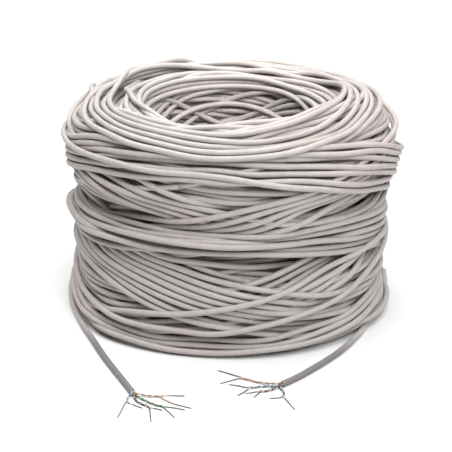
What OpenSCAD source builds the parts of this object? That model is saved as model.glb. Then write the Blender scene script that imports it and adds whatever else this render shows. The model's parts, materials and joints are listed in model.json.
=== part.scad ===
// A machine-wound coil of round four-pair network cable, standing free on its flat side.
// The cable is wound round an open eye. Its two ends leave the coil low on the sides, lie on
// the floor in front of it and are stripped: the sheath is cut back, the four twisted pairs
// fan out, and the last stretch of every wire is bare metal.
//
// Millimetres. The origin is on the floor on the axis of the eye, +Z runs up the axis, and
// the stripped ends lie towards -Y.

/* [Coil] */
// Height of the coil as it stands
coil_h = 190; // [180:1:210]
// Radius of the open eye
eye_r = 75; // [60:1:80]
// Radius of the coil at the crown of its top bulge
top_crown_r = 151; // [148:1:160]
// Radius of the coil at the crown of its middle bulge
middle_crown_r = 147.5; // [144:0.5:156]
// Radius of the coil at the crown of its bottom bulge
bottom_crown_r = 143; // [141:0.5:143]
// Number of layers that the winding is divided into, from the eye outwards
layers = 6; // [2:1:6]

/* [Cable] */
// Outside diameter of the sheath
cable_d = 5.1; // [4.8:0.1:5.2]
// Wall thickness of the sheath
sheath_wall = 0.5; // [0.4:0.05:0.6]
// Depth of the open mouth where the sheath is cut back
mouth_depth = 3; // [2:0.5:5]
// Diameter of one wire over its insulation
insulation_d = 1; // [0.9:0.05:1]
// Diameter of one bare conductor
conductor_d = 0.6; // [0.5:0.05:0.7]

/* [Hidden] */
// Shape of the winding: heights of the two waists, radii at the foot, waists and shoulder
foot_r = 136;
low_waist = [139.5, 38];
high_waist = [138, 105];
shoulder = [146, 172];
crown_flat_r = 118;
rim_round = 8;
bulge_steps = 8;
round_steps = 5;
// Mean outer radius, used to share the winding out into layers of equal volume
mean_r = 142;
coil_facets = 96;

// Sides of the swept tubes and points added between two route points
sheath_sides = 10;
wire_sides = 8;
sheath_steps = 3;
pair_steps = 3;
free_steps = 2;
// Distance of a pair's centre from the sheath's axis at the mouth
pair_seat = 0.92;

sheath_colour = "#c9c4be";
copper_colour = "#8d8a86";
white_colour = "#ecebe6";

// Height of a cable that lies on the floor
lay = cable_d / 2 + 0.05;

// Routes of the two sheathed ends, from the side of the coil to the cut
inner_route = [
    [-145.2, 10, 17],
    [-148, -14, 10],
    [-143, -44, 4.5],
    [-131, -84, lay],
    [-118, -120, lay],
    [-107, -150, lay],
    [-98, -172, lay],
    [-87, -198, lay],
    [-79, -217, lay],
];
outer_route = [
    [145.3, 8, 17],
    [144.2, -16, 11],
    [138.5, -42, 5.5],
    [127, -68, 3.2],
    [113, -104, lay],
    [97, -135, lay],
    [82, -157, lay],
    [67, -176, lay],
    [55, -190, lay],
    [42, -203, lay],
];

// The pairs at each end. A pair has its colour name, its colour, the length of one full twist,
// the quarter of the mouth that it leaves by as [side, up], its route up to the point where the
// two wires part, then the free route of the coloured wire and of its white mate. Each free
// route is [insulated points, bare points].
inner_pairs = [
    ["orange", "#d9823a", 15, [-1, 1],
        [[-77, -219.5, 3], [-72, -220, 2.2], [-66, -221, 1.5], [-57, -221, 1.2]],
        [[[-54, -225.5, 1], [-49, -230.5, 0.9], [-44, -234.5, 0.8]], [[-37, -238, 0.6], [-31, -241, 0.6]]],
        [[[-53, -220, 1.1], [-48, -219.5, 1]], [[-42, -219.5, 0.8], [-37, -219.5, 0.6]]]],
    ["green", "#4f8a5b", 12, [-1, -1],
        [[-76, -221, 1.6], [-70, -227, 1.2], [-62, -234.5, 1.2], [-55, -238.5, 1.2]],
        [[[-52, -242, 0.8]], [[-48, -249, 0.6], [-44, -257, 0.5]]],
        [[[-51.5, -239, 0.9]], [[-43, -241, 0.7], [-36, -244, 0.5]]]],
    ["blue", "#5a7fb0", 11, [1, 1],
        [[-80.5, -220.5, 2.6], [-82.5, -224.5, 1.5], [-83, -229, 1.2]],
        [[[-84.5, -234, 0.8]], [[-86, -243, 0.6], [-88.5, -256, 0.5]]],
        [[[-81, -232.5, 0.9], [-77.5, -235, 0.8]], [[-74, -238, 0.7], [-70, -240.5, 0.5]]]],
    ["brown", "#6e4a3c", 14, [1, -1],
        [[-78, -221, 1.5], [-76, -228, 1.2], [-71.5, -234, 1.2], [-66, -238.5, 1.2]],
        [[[-64, -243, 0.9], [-63.5, -248, 0.8]], [[-63, -255, 0.6], [-62, -263, 0.5]]],
        [[[-62.5, -240.5, 0.9], [-59.5, -242, 0.8]], [[-57, -243, 0.7], [-54, -244.5, 0.5]]]],
];
outer_pairs = [
    ["orange", "#d9823a", 15, [1, 1],
        [[38, -202.5, 3], [32, -199.5, 2], [25, -197, 1.4], [17, -192.5, 1.2], [11, -189, 1.2]],
        [[[6.5, -189, 0.9]], [[-1, -193, 0.7], [-8, -197, 0.5]]],
        [[[7, -185, 1]], [[-2, -178.5, 0.8], [-10, -173, 0.6]]]],
    ["blue", "#5a7fb0", 11, [1, -1],
        [[38, -204.5, 1.6], [31, -203.5, 1.2], [24, -204, 1.2], [17, -206, 1.2]],
        [[[12.5, -204.5, 0.9]], [[5, -201, 0.7], [-1, -199, 0.5]]],
        [[[14, -209, 0.9]], [[10, -214.5, 0.7], [6, -218.5, 0.5]]]],
    ["brown", "#6e4a3c", 14, [-1, 1],
        [[39, -206.5, 2.6], [35, -209, 1.5], [30.5, -211.5, 1.2], [25, -212.5, 1.2]],
        [[[23, -215.5, 0.9]], [[21, -218.5, 0.7], [19, -221.5, 0.5]]],
        [[[21.5, -212.5, 0.9]], [[17, -214, 0.7], [12.5, -215, 0.5]]]],
    ["green", "#4f8a5b", 12, [-1, -1],
        [[41, -206.5, 1.5], [42.5, -211, 1.2], [43.5, -216, 1.2], [42.5, -220.5, 1.2]],
        [[[40, -223, 0.9]], [[36.5, -223.5, 0.7], [31.5, -223.5, 0.5]]],
        [[[44, -224.5, 0.9]], [[47, -232.5, 0.7], [51, -243, 0.5]]]],
];

// ---- Vectors, curves and lists -------------------------------------------------------------

function unit(v) = v / norm(v);
function last(list) = list[len(list) - 1];
function part(list, from, to) = [for (i = [from : to]) list[i]];

// The four route points that shape the stretch that starts at point i
function before(p, i) = i == 0 ? 2 * p[0] - p[1] : p[i - 1];
function after(p, i) = i == len(p) - 2 ? 2 * p[i + 1] - p[i] : p[i + 2];
function blend(a, b, c, d, t) =
    (2 * b + (c - a) * t + (2 * a - 5 * b + 4 * c - d) * t * t
        + (3 * b - a - 3 * c + d) * t * t * t) / 2;

// A smooth curve through the points of a route. The stretches before `from` stay as they are.
function curve(p, steps, from = 0) = [
    for (i = [0 : len(p) - 2])
        for (s = [0 : (i < from ? 1 : steps) - 1])
            blend(before(p, i), p[i], p[i + 1], after(p, i), s / (i < from ? 1 : steps)),
    last(p),
];

// Distance along a curve at each of its points
function distances(p) = [
    for (i = 0, s = 0; i < len(p); s = s + (i + 1 < len(p) ? norm(p[i + 1] - p[i]) : 0), i = i + 1) s,
];

// Directions along a curve, level across it, and square to both
function ahead(p, i) = unit(p[min(i + 1, len(p) - 1)] - p[max(i - 1, 0)]);
function across(p, i) = unit(cross(ahead(p, i), [0, 0, 1]));
function above(p, i) = cross(across(p, i), ahead(p, i));
function around(p, i, r, a) = p[i] + r * (cos(a) * across(p, i) + sin(a) * above(p, i));
function ring(p, i, r, sides) = [for (k = [0 : sides - 1]) around(p, i, r, 360 * k / sides)];

// ---- Swept solids --------------------------------------------------------------------------

// Triangles between two rings of points, and across one ring, wound to face outwards
function wall(a, b, n) = [
    for (k = [0 : n - 1]) let (m = (k + 1) % n) each [[a + k, a + m, b + m], [a + k, b + m, b + k]],
];
function cap(a, n) = [for (k = [n - 1 : -1 : 0]) a + k];
function end_cap(a, n) = [for (k = [0 : n - 1]) a + k];

// A solid round rod along a curve
module rod(p, d, sides) {
    n = len(p);
    polyhedron(
        points = [for (i = [0 : n - 1]) each ring(p, i, d / 2, sides)],
        faces = concat(
            [cap(0, sides)],
            [for (i = [0 : n - 2]) each wall(i * sides, (i + 1) * sides, sides)],
            [end_cap((n - 1) * sides, sides)]
        )
    );
}

// A round rod along a curve with an open mouth at its far end
module mouthed_rod(p, d, mouth_d, depth, sides) {
    n = len(p);
    floor_centre = last(p) - depth * ahead(p, n - 1);
    lip = n * sides;
    polyhedron(
        points = concat(
            [for (i = [0 : n - 1]) each ring(p, i, d / 2, sides)],
            ring(p, n - 1, mouth_d / 2, sides),
            [for (q = ring(p, n - 1, mouth_d / 2, sides)) q + floor_centre - last(p)]
        ),
        faces = concat(
            [cap(0, sides)],
            [for (i = [0 : n - 2]) each wall(i * sides, (i + 1) * sides, sides)],
            wall(lip - sides, lip, sides),
            wall(lip, lip + sides, sides),
            [end_cap(lip + sides, sides)]
        )
    );
}

// ---- The winding ---------------------------------------------------------------------------

// A bulge between two levels [radius, height], swelling out to its crown
function bulge(low, high, crown) = [
    for (k = [0 : bulge_steps - 1])
        let (t = k / bulge_steps, base = low + (high - low) * t)
            [base[0] + (crown - (low[0] + high[0]) / 2) * sin(180 * t), base[1]],
];

// Half of the winding's cross-section: foot, three bulges, shoulder, top and the rim of the eye
winding_section = concat(
    [[eye_r, 0]],
    bulge([foot_r, 0], low_waist, bottom_crown_r),
    bulge(low_waist, high_waist, middle_crown_r),
    bulge(high_waist, shoulder, top_crown_r),
    [for (k = [0 : round_steps]) let (a = 90 * k / round_steps)
        [crown_flat_r + (shoulder[0] - crown_flat_r) * cos(a), shoulder[1] + (coil_h - shoulder[1]) * sin(a)]],
    [for (k = [round_steps : -1 : 0]) let (a = 90 * k / round_steps)
        [eye_r + rim_round * (1 - cos(a)), coil_h - rim_round * (1 - sin(a))]]
);

// Radius at which layer k begins. The outermost layer reaches the outside of the winding.
function layer_r(k) =
    k >= layers ? 2 * top_crown_r : sqrt(eye_r ^ 2 + (mean_r ^ 2 - eye_r ^ 2) * k / layers);

module winding_layer(k) {
    color(sheath_colour)
        rotate_extrude($fn = coil_facets)
            intersection() {
                polygon(winding_section);
                translate([layer_r(k - 1), -1])
                    square([layer_r(k) - layer_r(k - 1), coil_h + 2]);
            }
}

// ---- The stripped ends ---------------------------------------------------------------------

module sheath(route) {
    color(sheath_colour)
        mouthed_rod(curve(route, sheath_steps), cable_d, cable_d - 2 * sheath_wall, mouth_depth, sheath_sides);
}

// A pair starts on the floor of the sheath's mouth, in its own quarter of it
function seat(route, quarter, back) =
    let (n = len(route) - 1)
        route[n] - back * ahead(route, n) + pair_seat * (quarter[0] * across(route, n) + quarter[1] * above(route, n));

function pair_curve(route, pair) =
    curve(concat([seat(route, pair[3], mouth_depth), seat(route, pair[3], 0)], pair[4]), pair_steps);

// One wire of a pair: it winds round the pair's curve, then follows its own free route.
// mate is 0 for the coloured wire and 1 for the white one.
function first_turn(pair) = atan2(pair[3][1], pair[3][0]) + 90;
function wire_curve(route, pair, mate) =
    let (centre = pair_curve(route, pair), s = distances(centre), free = pair[5 + mate])
        let (wound = [for (i = [0 : len(centre) - 1])
            around(centre, i, insulation_d / 2, first_turn(pair) + 180 * mate + 360 * s[i] / pair[2])])
                curve(concat(wound, free[0], free[1]), free_steps, len(wound) - 1);

// Index of the point where a wire's insulation ends
function insulation_end(route, pair, mate) =
    len(pair_curve(route, pair)) - 1 + free_steps * len(pair[5 + mate][0]);

module insulation(route, pair, mate) {
    p = wire_curve(route, pair, mate);
    color(mate == 0 ? pair[1] : white_colour)
        rod(part(p, 0, insulation_end(route, pair, mate)), insulation_d, wire_sides);
}

module conductor(route, pair, mate) {
    p = wire_curve(route, pair, mate);
    color(copper_colour)
        rod(part(p, insulation_end(route, pair, mate), len(p) - 1), conductor_d, wire_sides);
}

// ---- Nodes ---------------------------------------------------------------------------------

ENDS = [["inner", inner_route, inner_pairs], ["outer", outer_route, outer_pairs]];
function layer_name(k) = str("winding_layer_", k);
function sheath_name(end) = str(end[0], "_end_sheath");
function wire_name(end, pair, mate) = str(end[0], "_end_", mate == 0 ? "" : "white_", pair[0]);
function insulation_name(end, pair, mate) = str(wire_name(end, pair, mate), "_insulation");
function conductor_name(end, pair, mate) = str(wire_name(end, pair, mate), "_conductor");

for (k = [1 : layers])
    winding_layer(k);
for (end = ENDS)
    sheath(end[1]);
for (end = ENDS)
    for (pair = end[2])
        for (mate = [0, 1]) {
            insulation(end[1], pair, mate);
            conductor(end[1], pair, mate);
        }
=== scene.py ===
import json
import math

import bpy
import numpy as np
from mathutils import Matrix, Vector


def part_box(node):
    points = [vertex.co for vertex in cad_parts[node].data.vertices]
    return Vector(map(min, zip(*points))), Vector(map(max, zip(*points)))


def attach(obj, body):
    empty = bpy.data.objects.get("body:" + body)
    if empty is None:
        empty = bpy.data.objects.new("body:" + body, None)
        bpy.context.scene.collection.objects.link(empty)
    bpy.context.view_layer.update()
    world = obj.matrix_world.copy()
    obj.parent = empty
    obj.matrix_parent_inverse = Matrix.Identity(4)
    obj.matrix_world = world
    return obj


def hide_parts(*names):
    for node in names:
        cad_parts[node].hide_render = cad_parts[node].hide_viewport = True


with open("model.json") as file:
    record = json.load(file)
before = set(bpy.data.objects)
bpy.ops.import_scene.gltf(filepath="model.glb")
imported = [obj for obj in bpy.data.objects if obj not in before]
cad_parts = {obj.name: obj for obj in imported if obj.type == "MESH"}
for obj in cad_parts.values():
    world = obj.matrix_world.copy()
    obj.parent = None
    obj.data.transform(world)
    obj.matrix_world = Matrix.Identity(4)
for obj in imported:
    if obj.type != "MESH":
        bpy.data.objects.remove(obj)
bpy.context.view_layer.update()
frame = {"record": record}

# A machine-wound coil of four-pair network cable, standing free on a pale floor, with both
# ends led out low and stripped. Everything is in metres, in the CAD model's own frame.

# ---- Driving dimensions ----------------------------------------------------------------------

EYE = next(m for m in frame["record"]["mounts"] if m["name"] == "eye")
EYE_R = EYE["dims"]["r_mm"] / 1000
COIL_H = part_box("winding_layer_1")[1][2]
CABLE_D = 0.0051
CABLE_R = CABLE_D / 2
SHEATH_WALL = 0.0005
MOUTH_DEPTH = 0.003
INSULATION_D = 0.001
# Radius of a bared conductor: drawn thicker than the CAD's, or it fades against the floor
BARE_R = 0.0005
# Height of a strand's centre where it lies on the floor
LAY = CABLE_R + 0.00005
# Pieces that the wound cable is cut into, one for each ring of the CAD
STRETCHES = 6

# Foot, waists, shoulder and crowns of the winding's outline, as (radius, height) or a radius
FOOT = (0.142, 0.0)
LOW_WAIST = (0.136, 0.036)
HIGH_WAIST = (0.134, 0.108)
SHOULDER = (0.143, 0.172)
CROWNS = (0.1400, 0.1385, 0.146)
CROWN_FLAT_R = 0.118
RIM_ROUND = 0.008

# How far the coil leans in x and y at some heights, and how steeply its top dips along x and y
LEAN_Z = (0.0, 0.060, 0.115, 0.160, 0.190)
LEAN_X = (-0.008, 0.0, 0.002, 0.001, -0.002)
LEAN_Y = (-0.004, -0.001, 0.0, 0.0, 0.0)
TOP_DIP = (0.014, 0.022)
# The left and right shoulders slump at their outer edges: how deep, and each one's side, start
# and width
SLUMP = 0.009
SLUMPS = ((-1, 0.075, 0.065), (1, 0.120, 0.030))
# The winding swells out at the left and the right at some heights, growing from a distance from
# the middle over a width
SWELL_START = 0.08
SWELL_WIDTH = 0.05
SWELL_Z = (0.050, 0.066, 0.083, 0.100, 0.116, 0.130)
SWELL_LEFT = (0.0, 0.006, 0.002, 0.002, 0.007, 0.0)
SWELL_RIGHT = (0.0, 0.003, 0.009, 0.003, 0.0, 0.0)

# Routes of the two sheathed ends, from the side of the coil to the cut
INNER_ROUTE = [
    (-0.1452, 0.010, 0.017), (-0.148, -0.014, 0.010), (-0.143, -0.044, 0.0045),
    (-0.131, -0.084, LAY), (-0.118, -0.120, LAY), (-0.107, -0.150, LAY),
    (-0.098, -0.172, LAY), (-0.087, -0.198, LAY), (-0.079, -0.217, LAY),
]
OUTER_ROUTE = [
    (0.1453, 0.008, 0.017), (0.1442, -0.016, 0.011), (0.1385, -0.042, 0.0055),
    (0.127, -0.068, 0.0032), (0.113, -0.104, LAY), (0.097, -0.135, LAY),
    (0.082, -0.157, LAY), (0.067, -0.176, LAY), (0.055, -0.190, LAY), (0.042, -0.203, LAY),
]

# The pairs at each end: colour, length of one full twist, the quarter of the mouth that the pair
# leaves by as (side, up), its route up to the point where its wires part, then the free route of
# the coloured wire and of its white mate. Each free route is (insulated points, bare points).
INNER_PAIRS = [
    ("orange", 0.011, (-1, 1),
     [(-0.077, -0.2195, 0.003), (-0.072, -0.22, 0.0022), (-0.066, -0.221, 0.0015),
      (-0.057, -0.221, 0.0012)],
     ([(-0.054, -0.2255, 0.001), (-0.049, -0.2305, 0.0009), (-0.044, -0.2345, 0.0008)],
      [(-0.037, -0.238, 0.0006), (-0.031, -0.241, 0.0006)]),
     ([(-0.053, -0.22, 0.0011), (-0.048, -0.2195, 0.001)],
      [(-0.042, -0.2195, 0.0008), (-0.037, -0.2195, 0.0006)])),
    ("green", 0.008, (-1, -1),
     [(-0.076, -0.221, 0.0016), (-0.07, -0.227, 0.0012), (-0.062, -0.2345, 0.0012),
      (-0.055, -0.2385, 0.0012)],
     ([(-0.052, -0.242, 0.0008)], [(-0.048, -0.249, 0.0006), (-0.044, -0.257, 0.0005)]),
     ([(-0.0515, -0.239, 0.0009)], [(-0.043, -0.241, 0.0007), (-0.036, -0.244, 0.0005)])),
    ("blue", 0.007, (1, 1),
     [(-0.0805, -0.2205, 0.0026), (-0.0825, -0.2245, 0.0015), (-0.083, -0.229, 0.0012)],
     ([(-0.0845, -0.234, 0.0008)], [(-0.086, -0.243, 0.0006), (-0.0885, -0.256, 0.0005)]),
     ([(-0.081, -0.2325, 0.0009), (-0.0775, -0.235, 0.0008)],
      [(-0.074, -0.238, 0.0007), (-0.07, -0.2405, 0.0005)])),
    ("brown", 0.0065, (1, -1),
     [(-0.078, -0.221, 0.0015), (-0.076, -0.228, 0.0012), (-0.0715, -0.234, 0.0012),
      (-0.066, -0.2385, 0.0012)],
     ([(-0.064, -0.243, 0.0009), (-0.0635, -0.248, 0.0008)],
      [(-0.063, -0.255, 0.0006), (-0.062, -0.263, 0.0005)]),
     ([(-0.0625, -0.2405, 0.0009), (-0.0595, -0.242, 0.0008)],
      [(-0.057, -0.243, 0.0007), (-0.054, -0.2445, 0.0005)])),
]
OUTER_PAIRS = [
    ("orange", 0.011, (1, 1),
     [(0.038, -0.2025, 0.003), (0.032, -0.1995, 0.002), (0.025, -0.197, 0.0014),
      (0.017, -0.1925, 0.0012), (0.011, -0.189, 0.0012)],
     ([(0.0065, -0.189, 0.0009)], [(-0.001, -0.193, 0.0007), (-0.008, -0.197, 0.0005)]),
     ([(0.007, -0.185, 0.001)], [(-0.002, -0.1785, 0.0008), (-0.01, -0.173, 0.0006)])),
    ("blue", 0.007, (1, -1),
     [(0.038, -0.2045, 0.0016), (0.031, -0.2035, 0.0012), (0.024, -0.204, 0.0012),
      (0.017, -0.206, 0.0012)],
     ([(0.0125, -0.2045, 0.0009)], [(0.005, -0.201, 0.0007), (-0.001, -0.199, 0.0005)]),
     ([(0.014, -0.209, 0.0009)], [(0.01, -0.2145, 0.0007), (0.006, -0.2185, 0.0005)])),
    ("brown", 0.0065, (-1, 1),
     [(0.039, -0.2065, 0.0026), (0.035, -0.209, 0.0015), (0.0305, -0.2115, 0.0012),
      (0.025, -0.2125, 0.0012)],
     ([(0.023, -0.2155, 0.0009)], [(0.021, -0.2185, 0.0007), (0.019, -0.2215, 0.0005)]),
     ([(0.0215, -0.2125, 0.0009)], [(0.017, -0.214, 0.0007), (0.0125, -0.215, 0.0005)])),
    ("green", 0.008, (-1, -1),
     [(0.041, -0.2065, 0.0015), (0.0425, -0.211, 0.0012), (0.0435, -0.216, 0.0012),
      (0.0425, -0.2205, 0.0012)],
     ([(0.04, -0.223, 0.0009)], [(0.0365, -0.2235, 0.0007), (0.0315, -0.2235, 0.0005)]),
     ([(0.044, -0.2245, 0.0009)], [(0.047, -0.2325, 0.0007), (0.051, -0.243, 0.0005)])),
]

# ---- Winding ---------------------------------------------------------------------------------

# The core is wound first and makes up the bulk; the shell lies over its side and top.
SAMPLES = 128                    # samples in a turn
STEP_ANGLE = 2 * math.pi / SAMPLES
GRID = 0.0005                    # distance between a bed's places
MARGIN = 10                      # places that a bed has beyond each end
SEED = 11
CHOICES = 48                     # states weighed for each turn
CORE_LENGTH = 206.0
SHELL_LENGTH = 98.0
SHELL = 0.0105                   # thickness of the shell
# A strand's spacing in each bed, in diameters; below 1, strands sink into each other
CORE_GIRTH = 0.77
SHELL_GIRTH = 0.93
START_ANGLE = math.atan2(OUTER_ROUTE[0][1], OUTER_ROUTE[0][0])
ANGLES = START_ANGLE - 2 * math.pi * np.arange(SAMPLES) / SAMPLES

# Points in the outline's dome and flat, its rounds of smoothing, and its step in a first search
DOME_POINTS = 80
FLAT_POINTS = 60
OUTLINE_ROUNDS = 60
SEARCH_STEP = 4

# Settling sideways: the step that a slope is read over, the move for each unit of slope, the
# rounds of smoothing, the largest move, and the samples over which a strand's ends are held
SLOPE_STEP = 0.0008
SETTLE_RATE = 0.35
SETTLE_ROUNDS = 6
SETTLE_MOST = 0.0007
HELD_SAMPLES = 8
END_HOLD = np.clip(np.minimum(np.arange(SAMPLES), SAMPLES - 1 - np.arange(SAMPLES))
                   / HELD_SAMPLES, 0, 1)

# Draping: samples of the last turn that a new one is draped together with, and the smoothing of
# the line between two lifts over the bumps
BEFORE = 16
CORE_STIFFNESS = 4

# How softly a turn's places approach their limits
SOFTNESS = 0.003

# Spread of the steps from one turn's state to the next, the mean turn of its direction, and how
# often and how far a step is a leap
MIDDLE_STEP = 0.009
TILT_STEP = 0.005
TILT_TURN = 0.10
TILT_TURN_STEP = 0.20
WAVE_STEP = 0.0015
WAVE_TURN_STEP = 0.4
LEAP_CHANCE = 0.25
LEAP = 4.0
TILTS = (0.012, 0.036)
WAVES = (0, 0.005)

# Weighing a choice: the weight of its highest place, and in the core and the shell those of its
# bumps and of what is steeper than the steepest step that is free
HIGHEST_WEIGHT = 0.35
CORE_WEIGHTS = (10, 500, 0.0029)
SHELL_WEIGHTS = (0.5, 30, 0.0032)

# The core: its first state, its lowest middle, the rounds of settling and draping of a turn, and
# the radius and width over which the shell begins to lie above it
CORE_START = (0.012, 0.025, START_ANGLE + math.pi, 0.0, 0.0)
CORE_LOWEST = 0.002
CORE_SETTLE = 3
CORE_DRAPE = 4
SHELL_OVER = (0.085, 0.015)

# The shell: the surface it starts from, the radius or height beyond which core turns bear it, the
# limits of its middles, the rounds of settling, smoothing and draping of a turn, the stiffness of
# the drape, the width kept clear round the eye, and a turn's rough length
SHELL_FLOOR = -0.03
BEARING_R = 0.100
BEARING_Z = 0.160
SHELL_MIDDLES = (0.010, 0.240)
SHELL_SETTLE = 4
SHELL_SMOOTH = 2
SHELL_DRAPE = 3
SHELL_STIFFNESS = 12
EYE_CLEARANCE = 0.004
TURN_LENGTH = 0.9

# The last turns: where in a turn the passage to the next state begins, the wobble and its
# smoothing, and the room that a strand takes up, with its reach in places and its smoothing
PASSAGE = 0.5
WOBBLE = 0.004
WOBBLE_ROUNDS = 40
STRAND_ROOM = 0.0062
ROOM_REACH = 5
ROOM_ROUNDS = 40

# States that the last turns pass through: how many turns, then the middle, tilt, direction, wave
# and direction (in mm and degrees) that they end on
DEG = math.pi / 180
KEY_UNITS = np.array([0.001, 0.001, DEG, 0.001, DEG])
SHELL_KEYS = [
    (1, 9, 3, 80, 0, 0), (1, 4, 2, 80, 0, 0), (1, 44, 32, 28, 0, 0), (6, 77, 32, 28, 0, 0),
    (1, 75, 32, 162, 0, 0), (7, 37, 32, 162, 0, 0), (1, 122, 33, 145, 0, 0),
    (4, 142, 33, 145, 0, 0), (1, 112, 34, 15, 0, 0), (4, 138, 35, 15, 0, 0),
    (1, 128, 33, -105, 0, 0), (5, 156, 33, -105, 0, 0), (1, 200, 22, 90, 0, 0),
    (4, 218, 16, 80, 0, 0), (1, 104, 6, -140, 3, -110), (5, 75, 25, -140, 7, -110),
    (1, 49, 28, 4, 4, -110), (1, 56, 36, 65, 0, 0), (1, 30, 17, 80, 0, 0),
    (2, 20, 16, 80, 0, 0), (1, 140, 35, -150, 8, -110), (1, 44, 27, 183, 0, 0),
]

# The cable's way in. It passes round the back over the finished winding, at these places by
# angle in degrees, and then under the coil from its side to the eye. A turn has places all round,
# so the rest of that one lies at the place named last.
WAY_ANGLES = (176, 155, 110, 75, 60)
WAY_PLACES = (0.017, 0.040, 0.036, 0.010, LAY)
WAY_ELSEWHERE = 0.030
WAY_ROUNDS = 6
UNDER = (math.radians(60), START_ANGLE - 2 * math.pi)
UNDER_R = 0.142
# Turns over the way in are lifted: a core turn within so many strand radii of it, and a shell turn
# where it passes a radius, over a width
LIFT_STRANDS = 2.4
CROSSING_R = 0.137
CROSSING_WIDTH = 0.012

# Seams between turns: the samples on each side over which the easing fades out, how far it stays
# whole, as a share of them, and its rounds
SEAM_SAMPLES = 10
SEAM_WHOLE = 0.5
SEAM_ROUNDS = 30

# ---- Meshes ----------------------------------------------------------------------------------

# Distances between the points of the wound cable, a sheathed end and a wire
WOUND_STEP = 0.007
END_STEP = 0.0035
WIRE_STEP = 0.0006
WOUND_ROUNDS = 3                 # rounds of smoothing of the wound cable
# Points of a curve from one point of its route to the next, for a route, for the direction that
# an end is cut in, and for a free wire
ROUTE_STEPS = 12
AIM_STEPS = 6
FREE_STEPS = 10
FREE_FROM = 6                    # points before a pair's parting that its wires set out from
STRETCH_SIDES = 10
END_SIDES = 24
COAT_SIDES = 10
BARE_SIDES = 8
JOIN_POINTS = 5                  # points of an end that the wound cable's line runs on into
JOIN_SEARCH = 40                 # points in which the join is looked for
EASE_POINTS = 10                 # points at each end of the wound line that are drawn to the join
BARE_OVERLAP = 2                 # points by which a conductor reaches into its insulation
PAIR_SEAT = 0.00092              # offset of a pair's line from the middle of the mouth
# The ragged lip of a cut sheath: its waves round the mouth and their height, and its worn edge
LIP_WAVES = 3
LIP = 0.0004
EDGE_IN = 0.00008
EDGE_OUT = 0.0001

# ---- Colours, light and camera ---------------------------------------------------------------

SHEATH_WARM = (0.410, 0.369, 0.353)
SHEATH_COOL = (0.389, 0.369, 0.354)
SCUFF = (0.90, 0.89, 0.88)
# Painted shade on the two ends beyond the coil: a deeper grey that stands in for the dimmer light
# on them. Also the distances from the coil's axis that it comes in over
TAIL_PAINTED_SHADE = (0.44, 0.45, 0.455)
TAIL_SHADE_FROM, TAIL_SHADE_TO = 0.155, 0.172
COLOURS = {
    "orange": (0.38, 0.21, 0.12), "green": (0.05, 0.145, 0.085),
    "blue": (0.085, 0.14, 0.25), "brown": (0.11, 0.038, 0.045),
}
WHITE = (0.52, 0.49, 0.45)
METAL_DARK = (0.11, 0.105, 0.10)
METAL_LIGHT = (0.19, 0.182, 0.175)
FLOOR_WARM = (0.70, 0.70, 0.70)
FLOOR_COOL = (0.69, 0.69, 0.695)
PLAIN = (1, 1, 1)

WORLD_LIGHT = 0.22
# Each light's name, kind, power, place and target, and what only its kind has
LIGHTS = [
    ("key_light", "AREA", 29, (0.7, -1.25, 1.4), (0, 0, 0.1), {"size": 1.2}),
    ("top_light", "AREA", 112, (-0.25, 0.25, 2.2), (0, 0, 0.1), {"size": 3.0}),
    ("eye_light", "SPOT", 48.0, (0.0, -0.45, 0.85), (0, 0.09, 0.165),
     {"spot_size": math.radians(17), "spot_blend": 1.0, "shadow_soft_size": 0.15}),
]

CAMERA_TARGET = Vector((-0.0035, 0.0, 0.065))
CAMERA_DISTANCE = 1.4
CAMERA_ELEVATION = math.radians(20.5)
CAMERA_LENS = 120.0
CAMERA_SENSOR = 36.0
CAMERA_CLIP = (0.05, 20.0)
FLOOR_SIDE = 12.0


def make_camera():
    data = bpy.data.cameras.new("camera")
    data.lens = CAMERA_LENS
    data.sensor_width = CAMERA_SENSOR
    data.clip_start, data.clip_end = CAMERA_CLIP
    camera = bpy.data.objects.new("camera", data)
    bpy.context.scene.collection.objects.link(camera)
    back = Vector((0.0, -math.cos(CAMERA_ELEVATION), math.sin(CAMERA_ELEVATION)))
    camera.location = CAMERA_TARGET + CAMERA_DISTANCE * back
    camera.rotation_euler = (-back).to_track_quat("-Z", "Y").to_euler()
    bpy.context.scene.camera = camera


# ---- Curves and tubes ------------------------------------------------------------------------

def curve(points, steps):
    """A smooth curve through the points."""
    p = np.asarray(points, float)
    p = np.vstack([2 * p[0] - p[1], p, 2 * p[-1] - p[-2]])
    out = []
    for i in range(len(points) - 1):
        a, b, c, d = p[i : i + 4]
        for t in np.arange(steps)[:, None] / steps:
            out.append((2 * b + (c - a) * t + (2 * a - 5 * b + 4 * c - d) * t**2
                        + (3 * b - a - 3 * c + d) * t**3) / 2)
    return np.vstack([*out, p[-2]])


def distances(path):
    """Distance along a path to each of its points."""
    return np.concatenate([[0], np.cumsum(np.linalg.norm(np.diff(path, axis=0), axis=1))])


def resample(path, step):
    """The same path with points a step apart."""
    s = distances(path)
    n = max(2, int(round(s[-1] / step)) + 1)
    at = np.linspace(0, s[-1], n)
    return np.column_stack([np.interp(at, s, path[:, k]) for k in range(3)])


def axes_along(path):
    """Unit vectors ahead of, level across and square above each point of a path."""
    ahead = np.gradient(path, axis=0)
    ahead /= np.linalg.norm(ahead, axis=1)[:, None]
    across = np.cross(ahead, (0, 0, 1))
    across /= np.linalg.norm(across, axis=1)[:, None]
    return ahead, across, np.cross(across, ahead)


def rings(path, radius, sides):
    """A ring of points round each point of a path."""
    _, across, above = axes_along(path)
    a = 2 * math.pi * np.arange(sides) / sides
    return path[:, None, :] + radius * (np.cos(a)[None, :, None] * across[:, None, :]
                                        + np.sin(a)[None, :, None] * above[:, None, :])


def grid_faces(rows, sides):
    """Quads that join each ring of points to the next."""
    i = np.arange(rows - 1)[:, None] * sides
    k = np.arange(sides)[None, :]
    m = (k + 1) % sides
    quads = np.stack([i + k, i + m, i + sides + m, i + sides + k], axis=-1)
    return quads.reshape(-1, 4)


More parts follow.
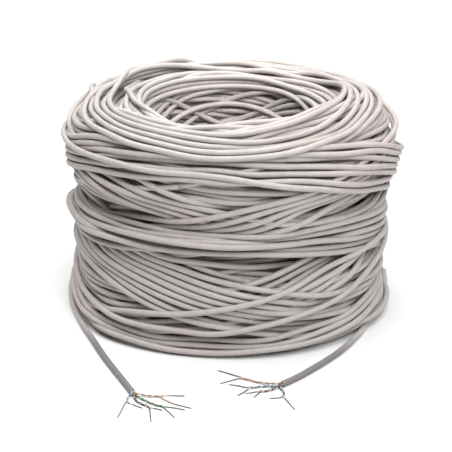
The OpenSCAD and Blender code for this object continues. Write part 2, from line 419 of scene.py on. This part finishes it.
def mesh_object(name, points, sides):
    """A closed mesh from rings of points: quads between them, and a cap at each end."""
    points = np.asarray(points, float).reshape(-1, 3)
    quads = grid_faces(len(points) // sides, sides)
    caps = [np.arange(sides)[::-1], len(points) - sides + np.arange(sides)]
    corners = np.concatenate([quads.ravel(), *caps]).astype(int)
    counts = np.concatenate([np.full(len(quads), 4), [sides, sides]]).astype(int)
    mesh = bpy.data.meshes.new(name)
    mesh.vertices.add(len(points))
    mesh.vertices.foreach_set("co", points.ravel())
    mesh.loops.add(len(corners))
    mesh.loops.foreach_set("vertex_index", corners)
    mesh.polygons.add(len(counts))
    mesh.polygons.foreach_set("loop_start", np.concatenate([[0], np.cumsum(counts)[:-1]]))
    mesh.polygons.foreach_set("use_smooth", np.full(len(counts), True))
    mesh.update(calc_edges=True)
    mesh.validate()
    ob = bpy.data.objects.new(name, mesh)
    bpy.context.scene.collection.objects.link(ob)
    return ob


def tube(name, path, radius, sides):
    """A closed round tube along a path."""
    return mesh_object(name, rings(path, radius, sides), sides)


# ---- The winding -----------------------------------------------------------------------------
# The coil is wound turn by turn, from the eye outwards. A bed holds the surface wound so far, as a
# height over a grid of angles round the coil and places across it. The core's bed lies round the
# eye: its places are heights above the floor, and its surface is a radius. The shell's bed lies
# round the core: its places run up the side, over the shoulder and across the top to the eye, and
# its surface is a height square to that outline.

def bulge(z, low, high, crown):
    """Radius between two waists, at the crown's radius halfway up."""
    t = np.clip((z - low[1]) / (high[1] - low[1]), 0, 1)
    return low[0] + (high[0] - low[0]) * t + (crown - (low[0] + high[0]) / 2) * np.sin(math.pi * t)


def side_radius(z):
    """Radius of the winding's side at a height below the shoulder."""
    return np.select(
        [z < LOW_WAIST[1], z < HIGH_WAIST[1]],
        [bulge(z, FOOT, LOW_WAIST, CROWNS[0]), bulge(z, LOW_WAIST, HIGH_WAIST, CROWNS[1])],
        bulge(z, HIGH_WAIST, SHOULDER, CROWNS[2]))


class Outline:
    """The winding's outline less the shell, as radius and height at each place across it."""

    def __init__(self):
        z = np.arange(0.0, SHOULDER[1], GRID)
        side = np.column_stack([side_radius(z), z])
        a = np.linspace(0, math.pi / 2, DOME_POINTS)
        dome = np.column_stack([CROWN_FLAT_R + (SHOULDER[0] - CROWN_FLAT_R) * np.cos(a),
                                SHOULDER[1] + (COIL_H - SHOULDER[1]) * np.sin(a)])
        flat = np.column_stack([np.linspace(CROWN_FLAT_R, EYE_R, FLAT_POINTS)[1:],
                                np.full(FLAT_POINTS - 1, COIL_H)])
        line = np.vstack([side, dome, flat])
        arc = np.concatenate([z, SHOULDER[1] + distances(np.vstack([dome, flat]))])
        self.places = np.arange(-MARGIN, int(arc[-1] / GRID) + MARGIN) * GRID
        line = np.column_stack([np.interp(self.places, arc, line[:, k]) for k in (0, 1)])
        low = self.places < 0
        line[low, 1] = self.places[low]
        line = smooth_path(line, OUTLINE_ROUNDS)
        ahead = np.gradient(line, axis=0)
        ahead /= np.linalg.norm(ahead, axis=1)[:, None]
        self.out = np.column_stack([ahead[:, 1], -ahead[:, 0]])
        self.line = line - SHELL * self.out

    def point(self, place, height):
        """Radius and height above the floor of places on the outline."""
        at = [np.interp(place, self.places, v) for v in (*self.line.T, *self.out.T)]
        return at[0] + height * at[2], at[1] + height * at[3]

    def nearest(self, r, z):
        """Place and height of points given by radius and height above the floor."""
        coarse = self.line[None, ::SEARCH_STEP]
        k = np.hypot(r[:, None] - coarse[..., 0], z[:, None] - coarse[..., 1]).argmin(1)
        k = k * SEARCH_STEP
        return self.places[k], ((r - self.line[k, 0]) * self.out[k, 0]
                                + (z - self.line[k, 1]) * self.out[k, 1])


class Bed:
    """The surface wound so far, over a grid of angles and places."""

    def __init__(self, places, start, girth):
        self.places = places
        self.surface = np.full((SAMPLES, len(places)), start)
        self.a = girth * CABLE_R
        self.reach = np.arange(-int(self.a / GRID) - 1, int(self.a / GRID) + 2)

    def near(self, place):
        """Grid places under a strand, its half height over each, and which of them it covers."""
        k = np.round((place - self.places[0]) / GRID).astype(int)[..., None] + self.reach
        k = np.clip(k, 0, len(self.places) - 1)
        lift = self.a**2 - (self.places[k] - place[..., None]) ** 2
        return k, np.sqrt(np.maximum(lift, 0)), lift > 0

    def rest(self, place):
        """Height at which a strand's centre just rests on the surface."""
        k, lift, ok = self.near(place)
        return np.where(ok, self.surface[np.arange(SAMPLES)[:, None], k] + lift, -1).max(-1)

    def add(self, place, height, rows=None):
        """Raises the surface by a strand."""
        k, lift, ok = self.near(place)
        rows = np.arange(SAMPLES) if rows is None else rows
        rows = np.broadcast_to(rows[:, None], k.shape)
        np.maximum.at(self.surface, (rows[ok], k[ok]), (height[:, None] + lift)[ok])

    def settle(self, place, low, high, steps):
        """Moves a strand sideways into the grooves between older turns; its two ends stay."""
        for _ in range(steps):
            slope = self.rest(place + SLOPE_STEP) - self.rest(place - SLOPE_STEP)
            move = np.clip(SETTLE_RATE * relax(slope, SETTLE_ROUNDS), -SETTLE_MOST, SETTLE_MOST)
            place = np.clip(place - END_HOLD * move, low, high)
        return place


def smooth_path(path, times):
    """Smooths a path and keeps its two ends."""
    for _ in range(times):
        path[1:-1] = (path[:-2] + 2 * path[1:-1] + path[2:]) / 4
    return path


def relax(x, times):
    """Smooths along a strand and keeps its ends free."""
    for _ in range(times):
        x = np.concatenate([2 * x[..., :1] - x[..., 1:2], x, 2 * x[..., -1:] - x[..., -2:-1]],
                           axis=-1)
        x = (x[..., :-2] + 2 * x[..., 1:-1] + x[..., 2:]) / 4
    return x


def drape(rest, before, times, stiff):
    """The line that a stiff, taut strand takes over bumps: smooth, and never far below them."""
    rest = np.concatenate([before, rest])
    line = rest
    for _ in range(times):
        line = np.maximum(rest, relax(line, stiff))
    return relax(line, stiff // 2)[-SAMPLES:]


def soft_clip(x, low, high):
    """Keeps values between two limits, with a soft approach to each."""
    x = high - SOFTNESS * np.logaddexp(0, (high - x) / SOFTNESS)
    return low + SOFTNESS * np.logaddexp(0, (x - low) / SOFTNESS)


def turn_places(before, after, start=0.0):
    """Places of a turn. A state is a middle, a tilt and the direction it rises towards, and a wave
    and its direction; along the turn it passes smoothly from the last turn's to this one's."""
    t = np.clip((np.arange(SAMPLES) / SAMPLES - start) / (1 - start), 0, 1)
    p = before[..., :, None] + (after - before)[..., :, None] * t**2 * (3 - 2 * t)
    return (p[..., 0, :] + p[..., 1, :] * np.cos(ANGLES - p[..., 2, :])
            + p[..., 3, :] * np.cos(2 * ANGLES - p[..., 4, :]))


def turn_length(r, place):
    """Length of a turn from the radius and place of each sample."""
    return np.hypot(r * 2 * math.pi / SAMPLES, np.gradient(place)).sum()


def choices(rng, state, low, high):
    """Some states that the next turn may have: small steps on from the last one, a few of them
    leaps."""
    leap = np.where(rng.random(CHOICES) < LEAP_CHANCE, LEAP, 1.0)
    return np.column_stack([
        np.clip(state[0] + rng.normal(0, MIDDLE_STEP, CHOICES) * leap, low, high),
        np.clip(state[1] + rng.normal(0, TILT_STEP, CHOICES), *TILTS),
        state[2] + rng.normal(TILT_TURN, TILT_TURN_STEP, CHOICES) * leap,
        np.clip(state[3] + rng.normal(0, WAVE_STEP, CHOICES), *WAVES),
        state[4] + rng.normal(0, WAVE_TURN_STEP, CHOICES)])


def best_choice(level, rest, place, weights):
    """The choice that lies on the lowest ground, with few bumps and nothing steep."""
    bumps_weight, steep_weight, steepest = weights
    steep = np.abs(np.diff(place, axis=-1)).max(-1)
    score = (level.mean(-1) + HIGHEST_WEIGHT * level.max(-1)
             + bumps_weight * np.abs(np.diff(rest, 2, axis=-1)).mean(-1)
             + steep_weight * np.clip(steep - steepest, 0, None))
    return int(np.argmin(score))


def lowest(near):
    """Least height of a strand's centre, lifted where it is near the cable's way in (0 to 1)."""
    return CABLE_R + CABLE_D * np.sin(np.clip(near, 0, 1) * math.pi / 2)


def core_limits(r, way_r):
    """Least and greatest height of a core strand's centre at a radius."""
    low = lowest(1 - np.abs(r - way_r).min(0) / (LIFT_STRANDS * CABLE_R))
    inner = np.clip((EYE_R + RIM_ROUND - r) / RIM_ROUND, 0, 1)
    rim = COIL_H - RIM_ROUND - CABLE_R + RIM_ROUND * np.sqrt(1 - inner**2)
    shell = np.clip((r - SHELL_OVER[0]) / SHELL_OVER[1], 0, 1)
    out = np.clip((r + SHELL + CABLE_R - CROWN_FLAT_R) / (SHOULDER[0] - CROWN_FLAT_R), 0, 1)
    dome = SHOULDER[1] + (COIL_H - SHOULDER[1]) * np.sqrt(1 - out**2) - CABLE_R - SHELL
    return low, np.minimum(rim - SHELL * shell, dome)


def core_radius(z, depth):
    """Radius that the core may fill, under the given depth of shell at each angle and height."""
    k = np.clip(np.round(z / GRID).astype(int) + MARGIN, 0, depth.shape[1] - 1)
    return side_radius(np.clip(z, 0, SHOULDER[1])) - depth[np.arange(SAMPLES), k]


def wind_core(rng, way_r, depth):
    """Turns of the core as radius and height of each sample, and the last turn's state."""
    places = (np.arange(int(COIL_H / GRID) + 2 * MARGIN) - MARGIN) * GRID
    bed = Bed(places, EYE_R, CORE_GIRTH)
    state = np.array(CORE_START)
    turns = []
    last = np.full(SAMPLES, EYE_R + CABLE_R)
    wound = 0.0
    while wound < CORE_LENGTH:
        choice = choices(rng, state, CORE_LOWEST, COIL_H - SHELL)
        low, high = core_limits(last, way_r)
        z = soft_clip(turn_places(state, choice), low, high)
        rest = bed.rest(z)
        full = (rest - EYE_R) / (core_radius(z, depth) - EYE_R)
        best = best_choice(full, rest, z, CORE_WEIGHTS)
        z = bed.settle(z[best], low, high, CORE_SETTLE)
        r = drape(bed.rest(z), last[-BEFORE:], CORE_DRAPE, CORE_STIFFNESS)
        bed.add(z, r)
        turns.append((r, z))
        wound += turn_length(r, z)
        state, last = choice[best], r
    return np.array(turns), state


def nearest_turn(state, target):
    """The same state as the target, with its directions as near as they can be to the last
    state's."""
    target = target.copy()
    target[[2, 4]] -= 2 * math.pi * np.round((target - state)[[2, 4]] / (2 * math.pi))
    return target


def planned():
    """States of the last turns, one a turn."""
    plan = [np.array(SHELL_KEYS[0][1:]) * KEY_UNITS]
    for count, *target in SHELL_KEYS:
        first = plan[-1]
        target = nearest_turn(first, np.array(target) * KEY_UNITS)
        plan += [first + (target - first) * (i + 1) / count for i in range(count)]
    return plan


def shell_limits(outline, way_r):
    """Lowest place at each angle, clear of the cable's way in, and the place where the eye
    begins."""
    low = lowest(1 - np.abs(way_r - CROSSING_R).min(0) / CROSSING_WIDTH)
    return low, np.interp(-EYE_R - EYE_CLEARANCE, -outline.line[:, 0], outline.places)


def planned_room(outline, last_turns, low, high):
    """Depth that the last turns will fill at each angle and place."""
    room = np.zeros((SAMPLES, len(outline.places)))
    for before, after in zip(last_turns, last_turns[1:]):
        place = soft_clip(turn_places(before, after, PASSAGE), low, high)
        k = np.round((place - outline.places[0]) / GRID).astype(int)
        for i in range(-ROOM_REACH, ROOM_REACH + 1):
            room[np.arange(SAMPLES), np.clip(k + i, 0, len(outline.places) - 1)] += STRAND_ROOM
    for _ in range(ROOM_ROUNDS):
        room[:, 1:-1] = (room[:, :-2] + 2 * room[:, 1:-1] + room[:, 2:]) / 4
        room = (np.roll(room, 1, 0) + 2 * room + np.roll(room, -1, 0)) / 4
    return room


def wind_shell(rng, outline, core, state, last_turns, room, low, high):
    """Turns of the shell as radius and height of each sample, and the surface that they leave."""
    bed = Bed(outline.places, SHELL_FLOOR, SHELL_GIRTH)
    r, z = core[:, 0].ravel(), core[:, 1].ravel()
    rows = np.arange(len(r)) % SAMPLES
    outer = (r > BEARING_R) | (z > BEARING_Z)
    place, height = outline.nearest(r[outer], z[outer])
    bed.add(place, height, rows[outer])
    aim = SHELL - CABLE_D / 2 - room
    free_length = SHELL_LENGTH - TURN_LENGTH * len(last_turns)
    turns = []
    wound = 0.0
    last = None
    plan = None
    while plan is None or len(plan) > 1:
        if wound < free_length:
            choice = choices(rng, state, *SHELL_MIDDLES)
            place = soft_clip(turn_places(state, choice), low, high)
            rest = bed.rest(place)
            k = np.round((place - bed.places[0]) / GRID).astype(int)
            over = rest - aim[np.arange(SAMPLES), k]
            best = best_choice(over, rest, place, SHELL_WEIGHTS)
            place, after = place[best], choice[best]
        else:
            if plan is None:
                plan = [nearest_turn(last_turns[1], state)] + last_turns[1:]
            after = plan[1]
            wobble = relax(rng.normal(0, WOBBLE, SAMPLES), WOBBLE_ROUNDS)
            place = soft_clip(turn_places(plan[0], after, PASSAGE) + wobble, low, high)
            plan = plan[1:]
        place = relax(bed.settle(place, low, high, SHELL_SETTLE), SHELL_SMOOTH)
        rest = bed.rest(place)
        before = rest[:BEFORE] if last is None else last[-BEFORE:]
        height = drape(rest, before, SHELL_DRAPE, SHELL_STIFFNESS)
        bed.add(place, height)
        r, z = outline.point(place, height)
        z = np.maximum(z, LAY)
        turns.append((r, z))
        wound += turn_length(r, z)
        state, last = after, height
    return np.array(turns), bed


# ---- The whole line of the cable -------------------------------------------------------------

def lean(path):
    """The coil leans: its foot sits a little to the left and nearer the front, its top dips to the
    left and the front and slumps at its shoulders, and its sides swell."""
    x, y, z = path.T
    dip = (TOP_DIP[0] * x + TOP_DIP[1] * y) * (z / COIL_H) ** 3
    slump = sum(np.clip((side * x - start) / width, 0, 1) ** 2 for side, start, width in SLUMPS)
    dip = dip - SLUMP * slump * (z / COIL_H) ** 3
    swell = sum(side * np.clip((side * x - SWELL_START) / SWELL_WIDTH, 0, 1)
                * np.interp(z, SWELL_Z, by) for side, by in ((-1, SWELL_LEFT), (1, SWELL_RIGHT)))
    return np.column_stack([x + swell + np.interp(z, LEAN_Z, LEAN_X),
                            y + np.interp(z, LEAN_Z, LEAN_Y), z + dip])


def way_radius(angle):
    """Radius of the cable's way in under the coil, from its side to the eye; -1 elsewhere."""
    t = (UNDER[0] - angle) / (UNDER[0] - UNDER[1])
    return np.where((t >= 0) & (t <= 1), UNDER_R + (EYE_R + CABLE_R - UNDER_R) * t, -1)


def polar(angle, r, z):
    """Points from their angle, radius and height."""
    return np.column_stack([r * np.cos(angle), r * np.sin(angle), z])


def ease_ends(path, first, last):
    """Draws the two ends of a path over to given points."""
    t = (1 - np.arange(EASE_POINTS) / EASE_POINTS)[:, None] ** 2
    path = path.copy()
    path[:EASE_POINTS] += t * (np.array(first) - path[0])
    path[-EASE_POINTS:] += t[::-1] * (np.array(last) - path[-1])
    return path


def ease_seams(x):
    """Smooths the line where one turn ends and the next begins."""
    at = (np.arange(len(x)) + SAMPLES // 2) % SAMPLES - SAMPLES // 2
    near = np.clip(1 + SEAM_WHOLE - np.abs(at) / SEAM_SAMPLES, 0, 1)
    return x + near * (relax(x, SEAM_ROUNDS) - x)


def way_in(outline, bed):
    """The cable's way in: round the back over the finished winding, then under it to the eye."""
    a = np.arange(math.radians(WAY_ANGLES[0]), UNDER[0], -STEP_ANGLE)
    place = np.interp(-a, -np.radians(WAY_ANGLES), WAY_PLACES)
    row = np.round((START_ANGLE - a) / STEP_ANGLE).astype(int) % SAMPLES
    everywhere = np.full(SAMPLES, WAY_ELSEWHERE)
    everywhere[row] = place
    height = relax(bed.rest(everywhere)[row], WAY_ROUNDS)
    under = np.arange(UNDER[0], UNDER[1], -STEP_ANGLE)
    return np.vstack([lean(polar(a, *outline.point(place, height))),
                      polar(under, way_radius(under), np.full(len(under), LAY))])


def wind_cable():
    """Line of the wound cable, from the inner end's side of the coil to the outer end's."""
    rng = np.random.default_rng(SEED)
    way_r = np.array([way_radius(ANGLES), way_radius(ANGLES - 2 * math.pi)])
    outline = Outline()
    low, high = shell_limits(outline, way_r)
    last_turns = planned()
    room = planned_room(outline, last_turns, low, high)
    core, state = wind_core(rng, way_r, np.maximum(SHELL, room + CABLE_R))
    shell, bed = wind_shell(rng, outline, core, state, last_turns, room, low, high)
    turns = np.concatenate([core, shell])
    r, z = (ease_seams(turns[:, k].ravel()) for k in (0, 1))
    wound = lean(polar(START_ANGLE - 2 * math.pi * np.arange(len(r)) / SAMPLES, r, z))
    return ease_ends(np.vstack([way_in(outline, bed), wound]), INNER_ROUTE[0], OUTER_ROUTE[0])


# ---- Materials -------------------------------------------------------------------------------

class Shader:
    """A material's nodes, added one after another and joined by their sockets."""

    def __init__(self, name, roughness, specular=0.5, metallic=0.0):
        self.mat = bpy.data.materials.new(name)
        self.mat.use_nodes = True
        self.tree = self.mat.node_tree
        self.bsdf = self.tree.nodes["Principled BSDF"]
        self.bsdf.inputs["Roughness"].default_value = roughness
        self.bsdf.inputs["Specular IOR Level"].default_value = specular
        self.bsdf.inputs["Metallic"].default_value = metallic
        self.place = self.add("ShaderNodeTexCoord").outputs["Object"]

    def put(self, node, key, value):
        """Links a socket to a node's input, or sets the input's value."""
        if isinstance(value, bpy.types.NodeSocket):
            self.tree.links.new(value, node.inputs[key])
        else:
            node.inputs[key].default_value = value

    def add(self, kind, inputs=(), **values):
        node = self.tree.nodes.new(kind)
        for name, value in values.items():
            setattr(node, name, value)
        for key, value in dict(inputs).items():
            self.put(node, key, value)
        return node

    def noise(self, scale, detail=2.0):
        inputs = {"Vector": self.place, "Scale": scale, "Detail": detail}
        return self.add("ShaderNodeTexNoise", inputs).outputs["Fac"]

    def spread(self, value, low, high):
        """A value from 0 to 1, brought between two others."""
        inputs = {"Value": value, "To Min": low, "To Max": high}
        return self.add("ShaderNodeMapRange", inputs).outputs["Result"]

    def ramp(self, value, first, last):
        """Colours between two stops, each a place and a colour."""
        node = self.add("ShaderNodeValToRGB", {"Fac": value})
        for stop, (at, colour) in zip(node.color_ramp.elements, (first, last)):
            stop.position = at
            stop.color = (*colour, 1)
        return node.outputs["Color"]

    def mix(self, amount, a, b, blend="MIX"):
        """Mixes the colour socket a with b, a socket or a colour."""
        b = b if isinstance(b, bpy.types.NodeSocket) else (*b, 1)
        node = self.add("ShaderNodeMix", data_type="RGBA", blend_type=blend)
        for key, value in ((0, amount), (6, a), (7, b)):
            self.put(node, key, value)
        return node.outputs[2]

    def finish(self, colour, rough=None, bump=None, strength=0.1, distance=0.0002):
        self.tree.links.new(colour, self.bsdf.inputs["Base Color"])
        if rough is not None:
            self.tree.links.new(rough, self.bsdf.inputs["Roughness"])
        if bump is not None:
            inputs = {"Height": bump, "Strength": strength, "Distance": distance}
            node = self.add("ShaderNodeBump", inputs)
            self.tree.links.new(node.outputs["Normal"], self.bsdf.inputs["Normal"])
        return self.mat


def sheath_material():
    """Grey-white PVC: drifts a little in tint from place to place, with scuffs and a fine grain.
    The two ends, out beyond the coil, get painted shade: a deeper grey that stands in for the
    dimmer light on them."""
    s = Shader("sheath_pvc", 0.48, 0.3)
    tint = s.ramp(s.noise(9.0), (0.35, SHEATH_WARM), (0.62, SHEATH_COOL))
    scuff = s.ramp(s.noise(120.0, 4.0), (0.45, PLAIN), (0.75, SCUFF))
    colour = s.mix(1.0, tint, scuff, "MULTIPLY")
    level = s.add("ShaderNodeVectorMath", {0: s.place, 1: (1, 1, 0)}, operation="MULTIPLY")
    out = s.add("ShaderNodeVectorMath", {0: level.outputs["Vector"]}, operation="LENGTH")
    # Painted shade: beyond the coil's side the colour is multiplied by a deeper grey that stands
    # in for the dimmer light on the ends
    end = s.ramp(out.outputs["Value"], (TAIL_SHADE_FROM, PLAIN), (TAIL_SHADE_TO, TAIL_PAINTED_SHADE))
    colour = s.mix(1.0, colour, end, "MULTIPLY")
    rough = s.spread(s.noise(60.0, 3.0), 0.40, 0.58)
    return s.finish(colour, rough, s.noise(900.0, 2.0), 0.12)


def insulation_material(name, colour, stripe=None):
    """Wire insulation in one colour, or white with a mate's colour showing in a broken stripe."""
    s = Shader(name, 0.5, 0.35)
    worn = tuple(0.8 * c + 0.05 for c in colour)
    tint = s.ramp(s.noise(200.0), (0.4, colour), (0.7, worn))
    if stripe is not None:
        wave = {"Vector": s.place, "Scale": 60.0, "Distortion": 2.0}
        band = s.add("ShaderNodeTexWave", wave).outputs["Fac"]
        mark = s.ramp(band, (0.72, (0, 0, 0)), (0.80, PLAIN))
        tint = s.mix(mark, tint, stripe)
    return s.finish(tint, None, s.noise(1500.0), 0.08)


def conductor_material():
    """Dull bare wire with faint drawing marks."""
    s = Shader("conductor_metal", 0.42, 0.5, 0.4)
    tint = s.ramp(s.noise(500.0, 3.0), (0.35, METAL_DARK), (0.7, METAL_LIGHT))
    rough = s.spread(s.noise(900.0), 0.32, 0.5)
    return s.finish(tint, rough, s.noise(2500.0), 0.1)


# ---- Cable pieces ----------------------------------------------------------------------------

def strip_uv(ob, rows, sides, length):
    """Lays a long tube out as rows of straight strips, for its baked textures."""
    lines = max(1, int(round(math.sqrt(length / (math.pi * CABLE_D)))))
    each = math.ceil((rows - 1) / lines)
    i = np.repeat(np.arange(rows - 1), sides)
    k = np.tile(np.arange(sides), rows - 1)
    u = (i % each) / each
    v = (i // each + k / sides) / lines
    du, dv = 1 / each, 1 / (sides * lines)
    corner = np.stack([np.stack([u, v], -1), np.stack([u, v + dv], -1),
                       np.stack([u + du, v + dv], -1), np.stack([u + du, v], -1)], 1)
    uv = np.zeros((len(ob.data.loops), 2))
    uv[: 4 * len(corner)] = corner.reshape(-1, 2)
    ob.data.uv_layers.new(name="OFBake").data.foreach_set("uv", uv.ravel())


def dress(ob, mat, replaced):
    """Gives a piece its material and its body, and hides the CAD node that it stands for."""
    ob.data.materials.append(mat)
    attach(ob, "root")
    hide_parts(replaced)


def stretch(name, path, mat, replaced):
    """A stretch of the wound cable as a plain closed tube."""
    length = distances(path)[-1]
    ob = tube(name, path, CABLE_R, STRETCH_SIDES)
    strip_uv(ob, len(path), STRETCH_SIDES, length)
    dress(ob, mat, replaced)


def cut_end(name, path, mat, replaced):
    """A sheathed end with a ragged lip round its open mouth; path runs towards the cut."""
    path = resample(path, END_STEP)
    ahead = axes_along(path)[0][-1]
    lip = LIP * np.sin(LIP_WAVES * np.arange(END_SIDES) * 2 * math.pi / END_SIDES)
    outer = rings(path, CABLE_R, END_SIDES)
    outer[-1] += lip[:, None] * ahead
    edge = rings(path, CABLE_R - EDGE_IN, END_SIDES)[-1] + (lip + EDGE_OUT)[:, None] * ahead
    mouth = rings(path, CABLE_R - SHEATH_WALL, END_SIDES)[-1]
    rim = mouth + lip[:, None] * ahead
    bottom = mouth - MOUTH_DEPTH * ahead
    ob = mesh_object(name, np.concatenate([outer, [edge, rim, bottom]]), END_SIDES)
    dress(ob, mat, replaced)


def wire_curve(route, pair, mate):
    """Line of one wire: wound round its mate, then free; and the point where it is bared."""
    _, twist, quarter, centre_route, *free = pair
    ahead, across, above = (v[-1] for v in axes_along(curve(route, AIM_STEPS)))
    side = PAIR_SEAT * (quarter[0] * across + quarter[1] * above)
    seat = np.array(route[-1]) + side
    centre = curve([seat - MOUTH_DEPTH * ahead, seat, *centre_route], ROUTE_STEPS)
    centre = resample(centre, WIRE_STEP)
    _, across, above = axes_along(centre)
    a = math.atan2(quarter[1], quarter[0]) + math.pi / 2 + math.pi * mate
    a = a + 2 * math.pi * distances(centre) / twist
    wound = centre + INSULATION_D / 2 * (np.cos(a)[:, None] * across + np.sin(a)[:, None] * above)
    wound[:, 2] = np.maximum(wound[:, 2], INSULATION_D / 2)
    insulated, bare = free[mate]
    # The free line sets out along the last few points of the wound one
    knots = [wound[-FREE_FROM], wound[-1], *insulated, *bare]
    line = np.vstack([wound[:-1], curve(knots, FREE_STEPS)[FREE_STEPS:]])
    line[:, 2] = np.maximum(line[:, 2], BARE_R)
    return line, len(wound) - 1 + FREE_STEPS * len(insulated)


def stripped_wires(end, route, pairs, mats):
    """All the wires at one end: insulation and bared conductor of each."""
    pieces = []
    for pair in pairs:
        for mate, colour in enumerate((pair[0], f"white_{pair[0]}")):
            line, bared = wire_curve(route, pair, mate)
            coat = tube(f"{end}_{colour}_insulation_visual", line[: bared + 1],
                        INSULATION_D / 2, COAT_SIDES)
            dress(coat, mats[colour], f"{end}_end_{colour}_insulation")
            core = tube(f"{end}_{colour}_conductor_visual", line[bared - BARE_OVERLAP :],
                        BARE_R, BARE_SIDES)
            dress(core, mats["conductor"], f"{end}_end_{colour}_conductor")
            pieces += [coat, core]
    return pieces


def make_cable():
    sheath = sheath_material()
    mats = {"conductor": conductor_material()}
    for colour, rgb in COLOURS.items():
        mats[colour] = insulation_material(f"{colour}_plastic", rgb)
        mats[f"white_{colour}"] = insulation_material(f"white_{colour}_plastic", WHITE, rgb)
    tails = {}
    for end, route, pairs in (("inner", INNER_ROUTE, INNER_PAIRS),
                              ("outer", OUTER_ROUTE, OUTER_PAIRS)):
        tails[end] = resample(curve(route, ROUTE_STEPS), END_STEP)
        tails[end][:, 2] = np.maximum(tails[end][:, 2], LAY)
        wires = stripped_wires(end, route, pairs, mats)
        cut_end(f"{end}_cut_end", tails[end], sheath, f"{end}_end_sheath")
    # The wound line runs on a little way along each end, so that the two meet in one direction
    inner, outer = tails["inner"], tails["outer"]
    path = np.vstack([inner[JOIN_POINTS:0:-1], wind_cable(), outer[1 : JOIN_POINTS + 1]])
    path = smooth_path(resample(path, WOUND_STEP), WOUND_ROUNDS)
    first = np.linalg.norm(path[:JOIN_SEARCH] - inner[0], axis=1).argmin()
    last = np.linalg.norm(path[-JOIN_SEARCH:] - outer[0], axis=1).argmin()
    path = path[first : len(path) - JOIN_SEARCH + last + 1]
    cuts = np.linspace(0, len(path) - 1, STRETCHES + 1).astype(int)
    for k in range(STRETCHES):
        stretch(f"cable_stretch_{k + 1}", path[cuts[k] : cuts[k + 1] + 1], sheath,
                f"winding_layer_{k + 1}")


# ---- Floor and light -------------------------------------------------------------------------

def make_floor():
    bpy.ops.mesh.primitive_plane_add(size=FLOOR_SIDE, location=(0, 0, 0))
    floor = bpy.context.object
    floor.name = "floor"
    s = Shader("floor_white", 0.7, 0.2)
    grain = s.ramp(s.noise(3.0), (0.3, FLOOR_WARM), (0.7, FLOOR_COOL))
    floor.data.materials.append(s.finish(grain))


def make_lights():
    world = bpy.data.worlds.new("studio")
    bpy.context.scene.world = world
    world.use_nodes = True
    background = world.node_tree.nodes["Background"]
    background.inputs["Color"].default_value = (1, 1, 1, 1)
    background.inputs["Strength"].default_value = WORLD_LIGHT
    for name, kind, power, place, target, more in LIGHTS:
        data = bpy.data.lights.new(name, kind)
        data.energy = power
        for key, value in more.items():
            setattr(data, key, value)
        light = bpy.data.objects.new(name, data)
        light.location = place
        back = Vector(place) - Vector(target)
        light.rotation_euler = back.to_track_quat("Z", "Y").to_euler()
        bpy.context.scene.collection.objects.link(light)
    bpy.context.scene.view_settings.view_transform = "Standard"


make_camera()
make_cable()
make_floor()
make_lights()
